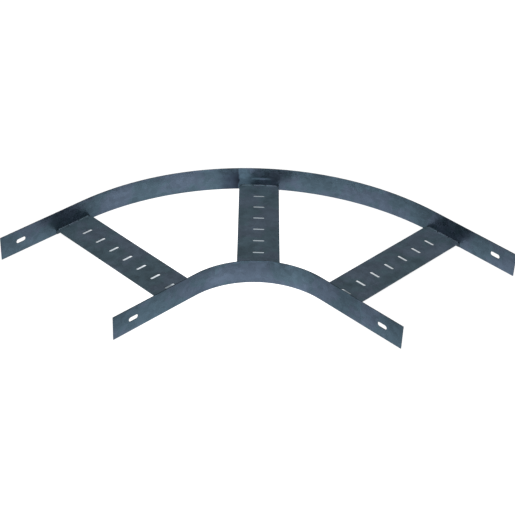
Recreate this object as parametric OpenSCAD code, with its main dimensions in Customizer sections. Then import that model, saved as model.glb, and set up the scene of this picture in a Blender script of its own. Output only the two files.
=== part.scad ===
// Cable ladder bend, 90 degrees: two strip rails and three slotted rungs.
// Millimetres. Both legs lie along an axis, the rails' lower edges are at z = 0.

/* [Ladder] */
// Clear width between the two rails
clear_width = 400; // [300:10:600]
// Bend radius, to the ladder side of the inner rail
bend_radius = 200; // [180:10:400]
// Straight length of each leg past the bend
leg_length = 240; // [220:10:400]

/* [Rails] */
// Height of the rails
rail_height = 60; // [50:1:110]
// Thickness of the rail strip
rail_thickness = 2; // [1.5:0.5:3]

/* [Bolt slots] */
// Middle of the bolt slot, from the end of its rail
bolt_slot_from_end = 57; // [40:1:70]
// Length of the bolt slot along the rail
bolt_slot_length = 26; // [16:1:36]
// Width of the bolt slot
bolt_slot_width = 11; // [7:0.5:14]

/* [Rungs] */
// Width of a rung along the ladder
rung_width = 100; // [60:2:120]
// Thickness of the rung sheet
rung_thickness = 2; // [1.5:0.5:3]
// Upper face of the rungs above the rails' lower edges
rung_top = 12; // [10:1:24]
// Inside radius of the bend at each end of a rung
rung_bend = 2; // [1.5:0.5:3]
// Lower edge of the turned-down end above the rails' lower edges
tab_lift = 1; // [0.5:0.5:2]
// Middle of an end rung, past the end of the bend
end_rung_offset = 30; // [20:1:60]

/* [Rung slots] */
// Distance between neighbouring slots
slot_pitch = 49; // [40:1:60]
// Length of a slot across the rung
slot_length = 28; // [16:1:36]
// Width of a slot
slot_width = 7; // [5:0.5:12]
// Least distance from a rail to the middle of a slot
slot_margin = 40; // [30:1:50]

/* [Hidden] */
$fn = 96;
// Angle of the bend and of its middle rung
bend_angle = 90;
middle_angle = bend_angle / 2;
// Radii of the ladder faces and outer faces of the rails
outer_radius = bend_radius + clear_width;
outer_face = outer_radius + rail_thickness;
inner_face = bend_radius - rail_thickness;
mid_radius = bend_radius + clear_width / 2;
// Bend centre to the middle of the whole part
centre_shift = (outer_face - leg_length) / 2;
// Outside radius of the sheet bend at a rung's end
bend_outer = rung_bend + rung_thickness;
// Slots that fit on one rung
slot_gaps = floor((clear_width - 2 * slot_margin) / slot_pitch);
// Extra reach of cutting bodies
reach = 5;
// Colours of the zinc coat
rail_colour = [0.34, 0.41, 0.48];
rung_colour = [0.28, 0.33, 0.37];

// One radial section carried along leg, bend and leg
module along_bend() {
    rotate_extrude(angle = bend_angle) children();
    rotate([90, 0, 0]) linear_extrude(leg_length) children();
    mirror([1, -1, 0]) rotate([90, 0, 0]) linear_extrude(leg_length) children();
}

// Slot outline with round ends, long side along x
module slot_outline(length, width) {
    square([length - width, width], center = true);
    for (side = [-1, 1])
        translate([side * (length - width) / 2, 0]) circle(d = width);
}

// Bolt slots through one rail, one at the end of each leg
module bolt_slots(radius) {
    module one() {
        translate([radius - reach, bolt_slot_from_end - leg_length, rail_height / 2])
            rotate([90, 0, 90])
                linear_extrude(rail_thickness + 2 * reach)
                    slot_outline(bolt_slot_length, bolt_slot_width);
    }
    one();
    mirror([1, -1, 0]) one();
}

// A rail: upright strip from its given inside radius, with its two bolt slots
module rail(radius) {
    difference() {
        along_bend() translate([radius, 0]) square([rail_thickness, rail_height]);
        bolt_slots(radius);
    }
}

// Quarter ring of the sheet bend, centred on its own middle
module sheet_bend() {
    intersection() {
        difference() {
            circle(r = bend_outer);
            circle(r = rung_bend);
        }
        translate([-bend_outer, 0]) square(bend_outer);
    }
}

// One end of the rung section: turned-down tab and its bend
module rung_end() {
    translate([0, tab_lift]) square([rung_thickness, rung_top - bend_outer - tab_lift]);
    translate([bend_outer, rung_top - bend_outer]) sheet_bend();
}

// Whole rung section from rail to rail, in radius and height
module rung_section() {
    translate([bend_radius + bend_outer, rung_top - rung_thickness])
        square([clear_width - 2 * bend_outer, rung_thickness]);
    translate([bend_radius, 0]) rung_end();
    translate([outer_radius, 0]) mirror([1, 0]) rung_end();
}

// A rung: the part of the section inside its own band, with a row of slots
module rung(angle, shift) {
    difference() {
        intersection() {
            along_bend() rung_section();
            rotate([0, 0, angle]) translate([0, shift - rung_width / 2, -reach])
                cube([outer_face + reach, rung_width, rung_top + 2 * reach]);
        }
        rotate([0, 0, angle]) translate([mid_radius, shift, rung_top - rung_thickness - reach])
            for (gap = [0 : slot_gaps])
                translate([(gap - slot_gaps / 2) * slot_pitch, 0, 0])
                    rotate([0, 0, 90])
                        linear_extrude(rung_thickness + 2 * reach)
                            slot_outline(slot_length, slot_width);
    }
}

// Placement of every sub-part on the middle of the whole part
module placed() {
    translate([-centre_shift, -centre_shift, 0]) children();
}

module outer_rail() {
    color(rail_colour) placed() rail(outer_radius);
}

module inner_rail() {
    color(rail_colour) placed() rail(inner_face);
}

module first_rung() {
    color(rung_colour) placed() rung(0, -end_rung_offset);
}

module middle_rung() {
    color(rung_colour) placed() rung(middle_angle, 0);
}

module last_rung() {
    color(rung_colour) placed() rung(bend_angle, end_rung_offset);
}

outer_rail();
inner_rail();
first_rung();
middle_rung();
last_rung();
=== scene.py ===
import math
import random
from typing import NamedTuple

import bpy
from mathutils import Matrix, Vector


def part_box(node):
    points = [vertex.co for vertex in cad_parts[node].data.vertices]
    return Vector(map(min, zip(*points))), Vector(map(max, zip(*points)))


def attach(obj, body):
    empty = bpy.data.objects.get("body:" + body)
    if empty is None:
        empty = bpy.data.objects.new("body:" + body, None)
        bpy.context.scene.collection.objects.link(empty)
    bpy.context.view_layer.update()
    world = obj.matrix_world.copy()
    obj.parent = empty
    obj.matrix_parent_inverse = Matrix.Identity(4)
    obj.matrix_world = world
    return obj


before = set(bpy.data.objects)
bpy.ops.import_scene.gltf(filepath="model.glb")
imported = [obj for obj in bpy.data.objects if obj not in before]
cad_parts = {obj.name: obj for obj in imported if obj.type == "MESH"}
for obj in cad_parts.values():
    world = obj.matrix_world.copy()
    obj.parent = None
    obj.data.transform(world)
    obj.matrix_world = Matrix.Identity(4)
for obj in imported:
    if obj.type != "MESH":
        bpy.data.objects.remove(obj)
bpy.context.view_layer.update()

# Ladder sizes in metres: the bend is as in the solids, the rest comes from the solids' boxes
BEND_RADIUS = 0.200
BEND_ANGLE = math.radians(90)
INNER_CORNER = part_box("inner_rail")[1].xy
CLEAR_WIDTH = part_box("first_rung")[1].x - INNER_CORNER.x
RAIL_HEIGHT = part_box("outer_rail")[1].z
RUNG_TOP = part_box("middle_rung")[1].z
OUTER_RADIUS = BEND_RADIUS + CLEAR_WIDTH
MID_RADIUS = BEND_RADIUS + CLEAR_WIDTH / 2
BEND_CENTRE = INNER_CORNER - Vector((BEND_RADIUS, BEND_RADIUS))

# Angle of each rung's radial line round the bend centre
RUNG_ANGLES = {"first": 0.0, "middle": BEND_ANGLE / 2, "last": BEND_ANGLE}
# Radius of each rail's ladder face, and the side of it on which the rungs lie
RAIL_FACES = {"inner": (BEND_RADIUS, 1), "outer": (OUTER_RADIUS, -1)}

# Camera: where it looks, from which side and how far, worked out from the photograph
CAMERA_TARGET = Vector((0.0279, 0.0303, 0.0))
CAMERA_AZIMUTH = math.radians(-46.04)
CAMERA_ELEVATION = math.radians(34.99)
CAMERA_ROLL = math.radians(2.43)
CAMERA_DISTANCE = 3.2471
CAMERA_LENS = 96.57
CAMERA_SENSOR = 36.0
CAMERA_REACH = 200.0

# Joined corners of the solids' faces, and the rounding of the rails' edges
JOIN_DISTANCE = 1e-6
EDGE_ROUNDING = 0.0004
EDGE_STEPS = 2
EDGE_ANGLE = math.radians(40)

# Patterns of the zinc coat: how large they are and how many finer layers each has
SPANGLE_SIZE = 0.011
SPANGLE_DETAIL = 2.0
SPANGLE_WARP = 0.006
SPANGLE_LEAN = 0.06
FEATHER_SIZE = 0.0012
FEATHER_WANDER = 5.0
CLOUD_SIZE = 0.070
CLOUD_DETAIL = 4.0
CLOUD_OFFSET = (2.0, 2.4, 0.1)
STAIN_SIZE = 0.030
STAIN_DETAIL = 5.0
STAIN_OFFSET = (1.0, 3.2, 1.7)
GRAIN_SIZE = 0.0016
GRAIN_DETAIL = 4.0
STREAK_SIZE = 0.006
STREAK_DETAIL = 3.0
SCRATCH_SIZE = 0.0009
SCRATCH_DETAIL = 1.0
SCRATCH_LEVELS = (0.66, 0.74)
PATCH_LEVELS = (0.30, 0.70)
DRAG_STRETCH = 0.04
# Painted shading: how far the stain pattern moves the rails' painted lighter lower edge up and down
PAINTED_LOW_LIGHT_RAGGED = 0.030
WEAR_RADIUS = 0.0012
WEAR_LEVELS = (0.80, 0.99)
WEAR_SAMPLES = 6

# Colour of the coat: tints that drift over it, and how far each pattern and mark changes its tone
VIOLET_TINT = Vector((1.06, 0.98, 1.03))
GREEN_TINT = Vector((0.95, 1.01, 0.99))
# Bluish tint of the painted shadow by the seam in the outer rail
PAINTED_SHADOW_TINT = Vector((0.98, 0.94, 1.12))
FLECK_HUE = 0.35
HUE_LEVELS = (0.45, 0.90)
TONE_SHARES = {"fleck": 0.22, "cloud": 0.18, "stain": 0.22, "grain": 0.08, "feather": 0.10, "streak": 0.06}
TONE_MARKS = {"scratch": 0.25}
# Tones of the seam's ground metal, of the painted shadow and of the painted reflection beside it
SEAM_SHADOW_AND_REFLECTION_TONES = {"painted_shadow": -0.52, "painted_reflection": -0.30, "ground": 0.75}
BARE_LEVELS = (0.3, 0.8)
BARE_TONES = (0.55, 1.35)

# Gloss and relief of the coat: how far each pattern and mark changes them
GLOSS_SHARES = {"dull": 0.10, "stain": 0.10, "grain": 0.06, "feather": 0.05}
GLOSS_MARKS = {"worn": -0.12, "scratch": -0.06, "ground": 0.45}
SPECULAR_LEVEL = 0.8
EDGE_ON_TINT = (0.25, 0.25, 0.25)
RELIEF_SHARES = {"grain": 1.0, "feather": 0.25, "streak": 0.25}
RELIEF_MARKS = {"scratch": -0.6}
RELIEF_STRENGTH = 0.35
RELIEF_DEPTH = 0.00025

# Darker coat beside a joint, partly dimmed by welding and partly painted reflection of the dark rung: the
# distances from the rung's middle line over which it fades
HEAT_AND_REFLECTION_REACH = (0.060, 0.120)
HEAT_AND_REFLECTION_RAGGED = 0.030

# Ground weld in the outer rail at the middle rung, with painted shadow and reflection: ways across and
# heights
SEAM_RISE = (0.002, 0.042)
SEAM_END = (0.047, 0.053)
SEAM_RAGGED = 0.006
SCUFF_HEIGHT = 0.030
SCUFF_THICKNESS = (0.0020, 0.0040)
SCUFF_REACH = (0.018, 0.030)
SCUFF_LIGHT = 0.75
# Painted shadow on the rail on the last rung's side of the seam, fading upward
PAINTED_SHADOW_START = (0.047, 0.054)
PAINTED_SHADOW_FADE = (0.055, 0.118)
PAINTED_SHADOW_HEIGHT = (0.024, 0.062)
PAINTED_SHADOW_ABOVE = 0.2
# Painted reflection of the dark rung on the rail on the first rung's side of the seam, darker higher up
PAINTED_REFLECTION_START = (-0.030, -0.004)
PAINTED_REFLECTION_FADE = (-0.100, -0.055)
PAINTED_REFLECTION_HEIGHT = (0.012, 0.036)
OUTER_SIDE = (0.100, 0.150)

# Weld beads, end to end in the groove between a rung's end and its rail
WELD_PLACES = (-0.031, 0.0, 0.031)
WELD_PLACE_SPREAD = 0.0005
WELD_LENGTH = 0.030
WELD_LENGTH_SPREAD = (0.97, 1.03)
WELD_RADIUS = 0.0026
WELD_TIP = 0.2
WELD_OUT = 0.0015
WELD_SUNK = 0.0012
WELD_ROOT = 0.0017
WELD_RIPPLE = 0.0017
WELD_RIPPLE_DEPTH = 0.00028
WELD_BOW = 0.0010
WELD_CROWN = math.radians(45)
WELD_RINGS = 88
WELD_SIDES = 16
WELD_SEED = 7

# Floor: its glow, the middle of its brightest part and the distances over which that fades
FLOOR_SIZE = 60.0
FLOOR_COLOUR = (0.10, 0.10, 0.10)
FLOOR_LIGHT = (1.0, 1.0, 1.0)
FLOOR_ROUGHNESS = 0.9
FLOOR_GLOW = 0.94
HOT_GLOW = 1.42
HOT_MIDDLE = (-0.05, 0.07, 0.0)
HOT_SPREAD = (0.17, 0.40)

# Painted shade on the floor's glow under each rung, deepest by the inner rail: its depth, its colour and
# the distances over which it fades
SHADE_DEPTHS = {"first": 0.40, "middle": 0.68, "last": 0.48}
SHADE_COLOUR = (0.72, 0.88, 1.0)
SHADE_WIDTH = (0.010, 0.036)
SHADE_LENGTH = (0.170, 0.200)
CORNER_DEPTH = 0.86
CORNER_LENGTH = (-0.145, -0.100)

# Studio walls behind the camera, left and right, and beyond the part, and the soft light from above
WALL_STRENGTHS = (2.5, 0.15, 0.20)
WALL_TINT = Vector((0.95, 0.98, 1.0))
SUN_WAY = Vector((-0.4, -0.4, 2.0))
SUN_STRENGTH = 2.45
SUN_SPREAD = math.radians(50)

# Places of the mix node's sockets for colours
MIX_FACTOR, MIX_A, MIX_B, MIX_RESULT = 0, 6, 7, 2


class Finish(NamedTuple):
    """One zinc coat, with how far its lower edge is painted lighter as shading, and how far its joints are
    darker, partly from welding and partly as painted reflection.
    """

    colour: Vector
    metallic: float
    roughness: float
    upright: bool = False
    lower_edge_painted_light: float = 0.0
    dulled_and_shaded: float = 0.0


RAIL_FINISH = Finish(Vector((0.067, 0.0995, 0.133)), 0.84, 0.33, upright=True, lower_edge_painted_light=0.36, dulled_and_shaded=0.20)
RUNG_FINISH = Finish(Vector((0.0447, 0.0652, 0.0822)), 0.25, 0.48)
WELD_FINISH = Finish(Vector((0.055, 0.077, 0.097)), 0.60, 0.51)


class Shade:
    """A material in the making, with short ways to add and join its nodes."""

    def __init__(self, name):
        self.material = bpy.data.materials.new(name)
        self.material.use_nodes = True
        self.tree = self.material.node_tree
        self.shader = self.tree.nodes["Principled BSDF"]
        self.place = self.add("ShaderNodeTexCoord").outputs["Object"]

    def add(self, kind, **settings):
        node = self.tree.nodes.new(kind)
        for key, value in settings.items():
            setattr(node, key, value)
        return node

    def feed(self, socket, value):
        """Joins a socket to another one, or sets it to a value."""
        if isinstance(value, bpy.types.NodeSocket):
            self.tree.links.new(value, socket)
        else:
            socket.default_value = value

    def fed(self, node, *values):
        """A node with its first sockets fed in their order."""
        for socket, value in zip(node.inputs, values):
            self.feed(socket, value)
        return node

    def surface(self, socket, value):
        """Feeds a socket of the material's shader."""
        self.feed(self.shader.inputs[socket], value)

    def math(self, operation, *values):
        return self.fed(self.add("ShaderNodeMath", operation=operation), *values).outputs[0]

    def product(self, first, *others):
        for other in others:
            first = self.math("MULTIPLY", first, other)
        return first

    def vector(self, operation, *values):
        node = self.fed(self.add("ShaderNodeVectorMath", operation=operation), *values)
        return node.outputs["Value" if operation in ("DOT_PRODUCT", "DISTANCE") else "Vector"]

    def scaled(self, value, factor):
        node = self.fed(self.add("ShaderNodeVectorMath", operation="SCALE"), value)
        self.feed(node.inputs["Scale"], factor)
        return node.outputs["Vector"]

    def joined(self, *values):
        return self.fed(self.add("ShaderNodeCombineXYZ"), *values).outputs[0]

    def channels(self, colour):
        return self.fed(self.add("ShaderNodeSeparateXYZ"), colour).outputs

    def noise(self, size, detail, place, output="Fac"):
        node = self.fed(self.add("ShaderNodeTexNoise"), place)
        node.inputs["Scale"].default_value = 1.0 / size
        node.inputs["Detail"].default_value = detail
        return node.outputs[output]

    def cells(self, size, place):
        node = self.fed(self.add("ShaderNodeTexVoronoi"), place)
        node.inputs["Scale"].default_value = 1.0 / size
        return node.outputs["Color"]

    def span(self, value, low, high, to_low=0.0, to_high=1.0):
        """Maps a range of values to another one, and holds them there."""
        node = self.add("ShaderNodeMapRange", interpolation_type="SMOOTHSTEP")
        return self.fed(node, value, low, high, to_low, to_high).outputs[0]

    def fade(self, value, low, high):
        """1 up to the low value, 0 from the high one on."""
        return self.span(value, low, high, 1.0, 0.0)

    def mix(self, factor, first, second):
        node = self.add("ShaderNodeMix", data_type="RGBA")
        self.feed(node.inputs[MIX_FACTOR], factor)
        self.feed(node.inputs[MIX_A], first)
        self.feed(node.inputs[MIX_B], second)
        return node.outputs[MIX_RESULT]

    def patches(self, size, detail, place):
        """Soft patches from 0 to 1, about as large as the given size."""
        return self.span(self.noise(size, detail, place), *PATCH_LEVELS)

    def ragged(self, value, pattern, reach):
        """A value that a pattern shifts both ways, over the given reach in all."""
        return self.math("MULTIPLY_ADD", self.math("SUBTRACT", pattern, 0.5), reach, value)

    def varied(self, middle, coat, shares, marks):
        """A value that departs from its middle by patterns, each a half on average, and by sparse marks."""
        total = middle - sum(shares.values()) / 2
        for name, share in (shares | marks).items():
            total = self.math("MULTIPLY_ADD", coat[name], share, total)
        return total

    def edges(self, radius):
        """1 along the edges of the metal, 0 on its flat faces."""
        rounded = self.add("ShaderNodeBevel", samples=WEAR_SAMPLES)
        rounded.inputs["Radius"].default_value = radius
        flat = self.add("ShaderNodeNewGeometry").outputs["Normal"]
        alike = self.vector("DOT_PRODUCT", rounded.outputs[0], flat)
        return self.fade(alike, *WEAR_LEVELS)


def opaque(colour):
    """A colour as the sockets take it."""
    return (*colour, 1.0)


def rail_face(angle, radius, across):
    """Point of a rail's ladder face beside a rung's radial line, and the way out from the bend."""
    turned = angle + math.atan2(across, radius)
    if 0.0 < turned < BEND_ANGLE:
        local = Vector((math.sqrt(radius ** 2 - across ** 2), across))
        outward = local.normalized()
    else:
        local = Vector((radius, across))
        outward = Vector((1.0, 0.0))
    turn = Matrix.Rotation(angle, 2)
    return BEND_CENTRE + turn @ local, turn @ outward


def rung_shift(rung):
    """Distance of a rung's middle line from its radial line."""
    low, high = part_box(f"{rung}_rung")
    middle = (low + high).xy / 2 - BEND_CENTRE
    return (Matrix.Rotation(-RUNG_ANGLES[rung], 2) @ middle).y


def from_rung(shade, rung):
    """Ways from a rung's middle: across its middle line, and along that line outward."""
    turn = Matrix.Rotation(RUNG_ANGLES[rung], 2)
    middle = BEND_CENTRE + turn @ Vector((MID_RADIUS, rung_shift(rung)))
    away = shade.vector("SUBTRACT", shade.place, middle.to_3d())
    across = shade.vector("DOT_PRODUCT", away, (turn @ Vector((0.0, 1.0))).to_3d())
    along = shade.vector("DOT_PRODUCT", away, (turn @ Vector((1.0, 0.0))).to_3d())
    return across, along


def feathers(shade, spangle):
    """Fine lines inside each fleck, along a way of its own."""
    way = shade.vector("NORMALIZE", shade.vector("SUBTRACT", spangle, [0.5] * 3))
    drift = shade.noise(SPANGLE_SIZE, SPANGLE_DETAIL, shade.place)
    wander = shade.math("MULTIPLY", drift, FEATHER_WANDER)
    steps = shade.vector("DOT_PRODUCT", shade.place, way)
    turns = shade.math("MULTIPLY_ADD", steps, 2 * math.pi / FEATHER_SIZE, wander)
    return shade.math("MULTIPLY_ADD", shade.math("SINE", turns), 0.5, 0.5)


def drag_place(shade, upright):
    """Coordinates drawn out along the ladder, for streaks and scratches."""
    if upright:
        return shade.vector("MULTIPLY", shade.place, (DRAG_STRETCH, DRAG_STRETCH, 1.0))
    radius = shade.vector("DISTANCE", shade.place, BEND_CENTRE.to_3d())
    return shade.vector("MULTIPLY_ADD", shade.place, [DRAG_STRETCH] * 3, shade.joined(radius, 0.0, 0.0))


def heat_and_reflection_marks(shade, stain):
    """1 on the metal beside each joint, partly dimmed by welding and partly painted reflection of the dark
    rung, 0 away from the joints.
    """
    marks = 0.0
    for rung in RUNG_ANGLES:
        across = from_rung(shade, rung)[0]
        aside = shade.math("MULTIPLY_ADD", stain, HEAT_AND_REFLECTION_RAGGED, shade.math("ABSOLUTE", across))
        marks = shade.math("MAXIMUM", shade.fade(aside, *HEAT_AND_REFLECTION_REACH), marks)
    return marks


def seam_shadow_and_reflection(shade, stain, height):
    """Marks by the weld in the outer rail: metal ground and scuffed, a painted shadow, a painted reflection
    of the rung.
    """
    across, along = from_rung(shade, "middle")
    outer = shade.span(along, *OUTER_SIDE)
    uneven = shade.ragged(across, stain, SEAM_RAGGED)
    strip = shade.product(shade.span(uneven, *SEAM_RISE), shade.fade(uneven, *SEAM_END))
    off_line = shade.math("ABSOLUTE", shade.math("SUBTRACT", height, SCUFF_HEIGHT))
    line = shade.span(off_line, *SCUFF_THICKNESS, SCUFF_LIGHT, 0.0)
    scuff = shade.product(line, shade.fade(shade.math("ABSOLUTE", uneven), *SCUFF_REACH))
    ground = shade.product(shade.math("MAXIMUM", strip, scuff), outer)
    # Painted shadow on the last rung's side of the seam
    beside = shade.product(shade.span(uneven, *PAINTED_SHADOW_START), shade.fade(uneven, *PAINTED_SHADOW_FADE))
    painted_shadow = shade.product(beside, shade.span(height, *PAINTED_SHADOW_HEIGHT, 1.0, PAINTED_SHADOW_ABOVE), outer)
    # Painted reflection of the dark rung, on the first rung's side of the seam
    beyond = shade.product(shade.fade(uneven, *PAINTED_REFLECTION_START), shade.span(uneven, *PAINTED_REFLECTION_FADE))
    painted_reflection = shade.product(beyond, shade.span(height, *PAINTED_REFLECTION_HEIGHT), outer)
    return ground, painted_shadow, painted_reflection


def coat_patterns(shade, upright):
    """The coat's patterns and marks by name, with the painted shading, each from 0 to 1, and the colours of
    its spangle.
    """
    warp = shade.noise(SPANGLE_SIZE, SPANGLE_DETAIL, shade.place, "Color")
    warped = shade.vector("MULTIPLY_ADD", warp, [SPANGLE_WARP] * 3, shade.place)
    spangle = shade.cells(SPANGLE_SIZE, warped)
    fleck, dull, tint = shade.channels(spangle)
    stain = shade.patches(STAIN_SIZE, STAIN_DETAIL, shade.vector("ADD", shade.place, STAIN_OFFSET))
    height = shade.channels(shade.place)[2]
    drag = drag_place(shade, upright)
    ground, painted_shadow, painted_reflection = seam_shadow_and_reflection(shade, stain, height) if upright else (0.0, 0.0, 0.0)
    return {
        "spangle": spangle,
        "fleck": fleck,
        "dull": dull,
        "tint": tint,
        "feather": feathers(shade, spangle),
        "cloud": shade.patches(CLOUD_SIZE, CLOUD_DETAIL, shade.vector("ADD", shade.place, CLOUD_OFFSET)),
        "stain": stain,
        "grain": shade.patches(GRAIN_SIZE, GRAIN_DETAIL, shade.place),
        "streak": shade.patches(STREAK_SIZE, STREAK_DETAIL, drag),
        "scratch": shade.span(shade.noise(SCRATCH_SIZE, SCRATCH_DETAIL, drag), *SCRATCH_LEVELS),
        # Painted shading: 1 at the foot of a rail, 0 at its top, lighter there in the tone
        "painted_low_light": shade.fade(shade.ragged(height, stain, PAINTED_LOW_LIGHT_RAGGED), 0.0, RAIL_HEIGHT),
        "worn": shade.edges(WEAR_RADIUS),
        "heat_and_reflection": heat_and_reflection_marks(shade, stain),
        "ground": ground,
        "painted_shadow": painted_shadow,
        "painted_reflection": painted_reflection,
    }


def add_colour(shade, coat, finish):
    """Tints drift over the sheet, brightness follows the spangle, the clouds, the marks and the painted
    shading.
    """
    hue = shade.span(shade.math("MULTIPLY_ADD", coat["tint"], FLECK_HUE, coat["cloud"]), *HUE_LEVELS)
    clean = shade.mix(hue, opaque(finish.colour * GREEN_TINT), opaque(finish.colour * VIOLET_TINT))
    # Painted shadow by the seam, tinted bluish
    base = shade.mix(coat["painted_shadow"], clean, opaque(finish.colour * PAINTED_SHADOW_TINT))
    # Tone from the patterns, with the painted shading that lightens the rails' lower edge
    tone = shade.varied(1.0, coat, TONE_SHARES | {"painted_low_light": finish.lower_edge_painted_light}, TONE_MARKS)
    # Darker beside the joints, partly from welding and partly painted reflection; by the seam lighter
    # ground metal, painted shadow and painted reflection
    kept = shade.varied(1.0, coat, {}, {"heat_and_reflection": -finish.dulled_and_shaded} | SEAM_SHADOW_AND_REFLECTION_TONES)
    toned = shade.scaled(base, shade.product(tone, kept))
    bare = shade.scaled(base, shade.span(coat["stain"], *BARE_LEVELS, *BARE_TONES))
    shade.surface("Base Color", shade.mix(coat["worn"], toned, bare))


def add_gloss(shade, coat, finish):
    """Each fleck has its own gloss, stains are duller, worn edges and scratches smoother."""
    shade.surface("Roughness", shade.varied(finish.roughness, coat, GLOSS_SHARES, GLOSS_MARKS))
    shade.surface("Metallic", finish.metallic)
    shade.surface("Specular Tint", opaque(EDGE_ON_TINT))
    shade.surface("Specular IOR Level", SPECULAR_LEVEL)


def add_relief(shade, coat):
    """Each fleck leans a little, with feathers, fine grain and scratches over it."""
    leaning = shade.vector("MULTIPLY_ADD", coat["spangle"], [SPANGLE_LEAN] * 3, [-SPANGLE_LEAN / 2] * 3)
    normal = shade.add("ShaderNodeNewGeometry").outputs["Normal"]
    leaned = shade.vector("NORMALIZE", shade.vector("ADD", normal, leaning))
    bump = shade.add("ShaderNodeBump")
    bump.inputs["Strength"].default_value = RELIEF_STRENGTH
    bump.inputs["Distance"].default_value = RELIEF_DEPTH
    shade.feed(bump.inputs["Height"], shade.varied(0.0, coat, RELIEF_SHARES, RELIEF_MARKS))
    shade.feed(bump.inputs["Normal"], leaned)
    shade.surface("Normal", bump.outputs[0])


def zinc(name, finish):
    """Zinc coat with feathered spangle, clouds, stains, drag lines, worn edges, marks of welding and
    painted shading.
    """
    shade = Shade(name)
    coat = coat_patterns(shade, finish.upright)
    add_colour(shade, coat, finish)
    add_gloss(shade, coat, finish)
    add_relief(shade, coat)
    return shade.material


def dress(node, material):
    """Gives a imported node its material, and joins the corners of its faces to one closed skin."""
    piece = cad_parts[node]
    for slot in piece.material_slots:
        slot.material = material
    weld = piece.modifiers.new("join_corners", "WELD")
    weld.merge_threshold = JOIN_DISTANCE
    return piece


def round_edges(piece):
    """Softly rounded edges, once the corners are joined."""
    bevel = piece.modifiers.new("soft_edges", "BEVEL")
    bevel.width = EDGE_ROUNDING
    bevel.segments = EDGE_STEPS
    bevel.limit_method = "ANGLE"
    bevel.angle_limit = EDGE_ANGLE
    bevel.harden_normals = True


def weld_ring(joint, across, along, fatness, ripple_start):
    """One ring of a weld bead: its points round the line at the foot of the rung's end."""
    angle, radius, side = joint
    face, outward = rail_face(angle, radius, across)
    away = (outward * side).to_3d()
    middle = face.to_3d() + away * WELD_OUT
    middle.z = RUNG_TOP - WELD_SUNK
    points = []
    for step in range(WELD_SIDES):
        # Counted the other way round at the other rail, so that the skin faces outward at both
        turn = -side * 2 * math.pi * step / WELD_SIDES
        lag = WELD_BOW * (1 - math.cos(turn - WELD_CROWN))
        ripple = abs(math.sin(math.pi * (along - lag + ripple_start) / WELD_RIPPLE))
        reach = fatness * (WELD_RADIUS + WELD_RIPPLE_DEPTH * ripple)
        point = middle + reach * (math.cos(turn) * away + math.sin(turn) * Vector((0, 0, 1)))
        point.z = max(point.z, RUNG_TOP - WELD_ROOT)
        points.append(point)
    return points


def add_bead(points, faces, joint, across, dice):
    """One closed bead with rippled skin and rounded ends."""
    first = len(points)
    length = WELD_LENGTH * dice.uniform(*WELD_LENGTH_SPREAD)
    ripple_start = dice.uniform(0.0, WELD_RIPPLE)
    across += dice.uniform(-WELD_PLACE_SPREAD, WELD_PLACE_SPREAD)
    for ring in range(WELD_RINGS):
        along = length * (ring / (WELD_RINGS - 1) - 0.5)
        end = max(0.0, abs(along) - length / 2 + WELD_RADIUS) / WELD_RADIUS
        fatness = math.sqrt(max(WELD_TIP ** 2, 1 - end ** 2))
        points += weld_ring(joint, across + along, along, fatness, ripple_start)
    for ring in range(WELD_RINGS - 1):
        for step in range(WELD_SIDES):
            here = first + ring * WELD_SIDES + step
            beside = first + ring * WELD_SIDES + (step + 1) % WELD_SIDES
            faces.append((here, beside, beside + WELD_SIDES, here + WELD_SIDES))
    last = first + (WELD_RINGS - 1) * WELD_SIDES
    faces.append(tuple(first + step for step in reversed(range(WELD_SIDES))))
    faces.append(tuple(last + step for step in range(WELD_SIDES)))


def add_weld(rung, rail, material, dice):
    """The row of weld beads between one rung and one rail."""
    joint = (RUNG_ANGLES[rung], *RAIL_FACES[rail])
    points = []
    faces = []
    for place in WELD_PLACES:
        add_bead(points, faces, joint, rung_shift(rung) + place, dice)
    mesh = bpy.data.meshes.new(f"weld_{rung}_{rail}")
    mesh.from_pydata(points, [], faces)
    mesh.shade_smooth()
    mesh.materials.append(material)
    weld = bpy.data.objects.new(mesh.name, mesh)
    bpy.context.collection.objects.link(weld)
    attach(weld, "root")


def under_rungs(shade):
    """Depth of the painted shade on the floor under the rungs, 0 where the floor is open."""
    painted_shade = 0.0
    for rung, depth in SHADE_DEPTHS.items():
        across, along = from_rung(shade, rung)
        beside = shade.fade(shade.math("ABSOLUTE", across), *SHADE_WIDTH)
        inside = shade.fade(shade.math("ABSOLUTE", along), *SHADE_LENGTH)
        deep = shade.span(along, *CORNER_LENGTH, CORNER_DEPTH, depth)
        painted_shade = shade.math("MAXIMUM", shade.product(beside, inside, deep), painted_shade)
    return painted_shade


def floor_white():
    """Pale floor, lit from within so that it stays white, and most under the bend, with painted shade under
    the rungs.
    """
    shade = Shade("floor_white")
    away = shade.vector("DISTANCE", shade.place, HOT_MIDDLE)
    painted_shade = under_rungs(shade)
    glow = shade.span(away, *HOT_SPREAD, HOT_GLOW, FLOOR_GLOW)
    shade.surface("Base Color", opaque(FLOOR_COLOUR))
    shade.surface("Emission Color", shade.mix(painted_shade, opaque(FLOOR_LIGHT), opaque(SHADE_COLOUR)))
    # Painted shade: the glow is dimmed under the rungs
    shade.surface("Emission Strength", shade.product(glow, shade.math("SUBTRACT", 1.0, painted_shade)))
    shade.surface("Roughness", FLOOR_ROUGHNESS)
    shade.surface("Specular IOR Level", 0.0)
    return shade.material


def add_floor():
    """Plain floor under the part."""
    bpy.ops.mesh.primitive_plane_add(size=FLOOR_SIZE, location=(0, 0, 0))
    floor = bpy.context.object
    floor.name = "floor"
    floor.data.materials.append(floor_white())


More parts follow.
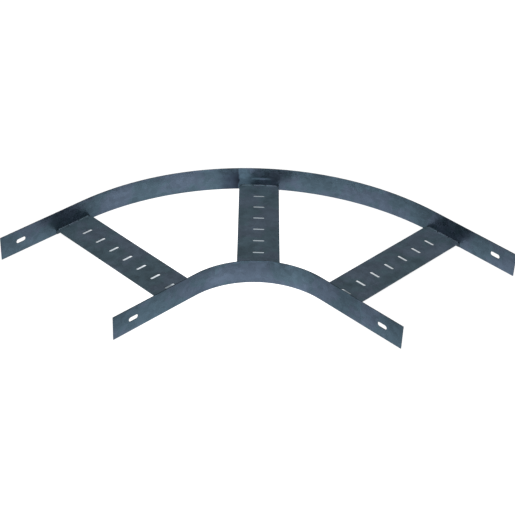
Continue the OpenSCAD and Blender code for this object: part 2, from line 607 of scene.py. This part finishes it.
def add_world():
    """Studio walls, with one brightness behind the camera, one left and right, one beyond the part."""
    world = bpy.data.worlds.new("studio")
    bpy.context.scene.world = world
    world.use_nodes = True
    tree = world.node_tree
    away = Vector((-math.sin(CAMERA_AZIMUTH), math.cos(CAMERA_AZIMUTH), 0.0))
    look = tree.nodes.new("ShaderNodeTexCoord").outputs["Generated"]
    facing = tree.nodes.new("ShaderNodeVectorMath")
    facing.operation = "DOT_PRODUCT"
    tree.links.new(look, facing.inputs[0])
    facing.inputs[1].default_value = away / 2
    middle = tree.nodes.new("ShaderNodeMath")
    tree.links.new(facing.outputs["Value"], middle.inputs[0])
    middle.inputs[1].default_value = 0.5
    ramp = tree.nodes.new("ShaderNodeValToRGB")
    ramp.color_ramp.interpolation = "EASE"
    ramp.color_ramp.elements.new(0.5)
    for stop, strength in zip(ramp.color_ramp.elements, WALL_STRENGTHS):
        stop.color = opaque(WALL_TINT * strength)
    tree.links.new(middle.outputs[0], ramp.inputs[0])
    tree.links.new(ramp.outputs[0], tree.nodes["Background"].inputs["Color"])


def add_sun():
    """Soft light from far away."""
    data = bpy.data.lights.new("sky", "SUN")
    data.energy = SUN_STRENGTH
    data.angle = SUN_SPREAD
    lamp = bpy.data.objects.new("sky", data)
    bpy.context.collection.objects.link(lamp)
    lamp.rotation_euler = SUN_WAY.to_track_quat("Z", "Y").to_euler()


def add_camera():
    """The photograph's viewpoint."""
    level = math.cos(CAMERA_ELEVATION)
    side, ahead = math.sin(CAMERA_AZIMUTH), math.cos(CAMERA_AZIMUTH)
    back = Vector((side * level, -ahead * level, math.sin(CAMERA_ELEVATION)))
    right = Vector((0, 0, 1)).cross(back).normalized()
    up = back.cross(right)
    tilted_right = math.cos(CAMERA_ROLL) * right + math.sin(CAMERA_ROLL) * up
    tilted_up = -math.sin(CAMERA_ROLL) * right + math.cos(CAMERA_ROLL) * up
    data = bpy.data.cameras.new("camera")
    data.lens = CAMERA_LENS
    data.sensor_width = CAMERA_SENSOR
    data.clip_end = CAMERA_REACH
    camera = bpy.data.objects.new("camera", data)
    bpy.context.collection.objects.link(camera)
    turn = Matrix((tilted_right, tilted_up, back)).transposed().to_4x4()
    camera.matrix_world = Matrix.Translation(CAMERA_TARGET + back * CAMERA_DISTANCE) @ turn
    bpy.context.scene.camera = camera


rail_zinc = zinc("rail_zinc", RAIL_FINISH)
rung_zinc = zinc("rung_zinc", RUNG_FINISH)
weld_zinc = zinc("weld_zinc", WELD_FINISH)
for rail in RAIL_FACES:
    round_edges(dress(f"{rail}_rail", rail_zinc))
for rung in RUNG_ANGLES:
    dress(f"{rung}_rung", rung_zinc)
weld_dice = random.Random(WELD_SEED)
for rung in RUNG_ANGLES:
    for rail in RAIL_FACES:
        add_weld(rung, rail, weld_zinc, weld_dice)

add_floor()
add_world()
add_sun()
add_camera()
bpy.context.scene.view_settings.view_transform = "Standard"
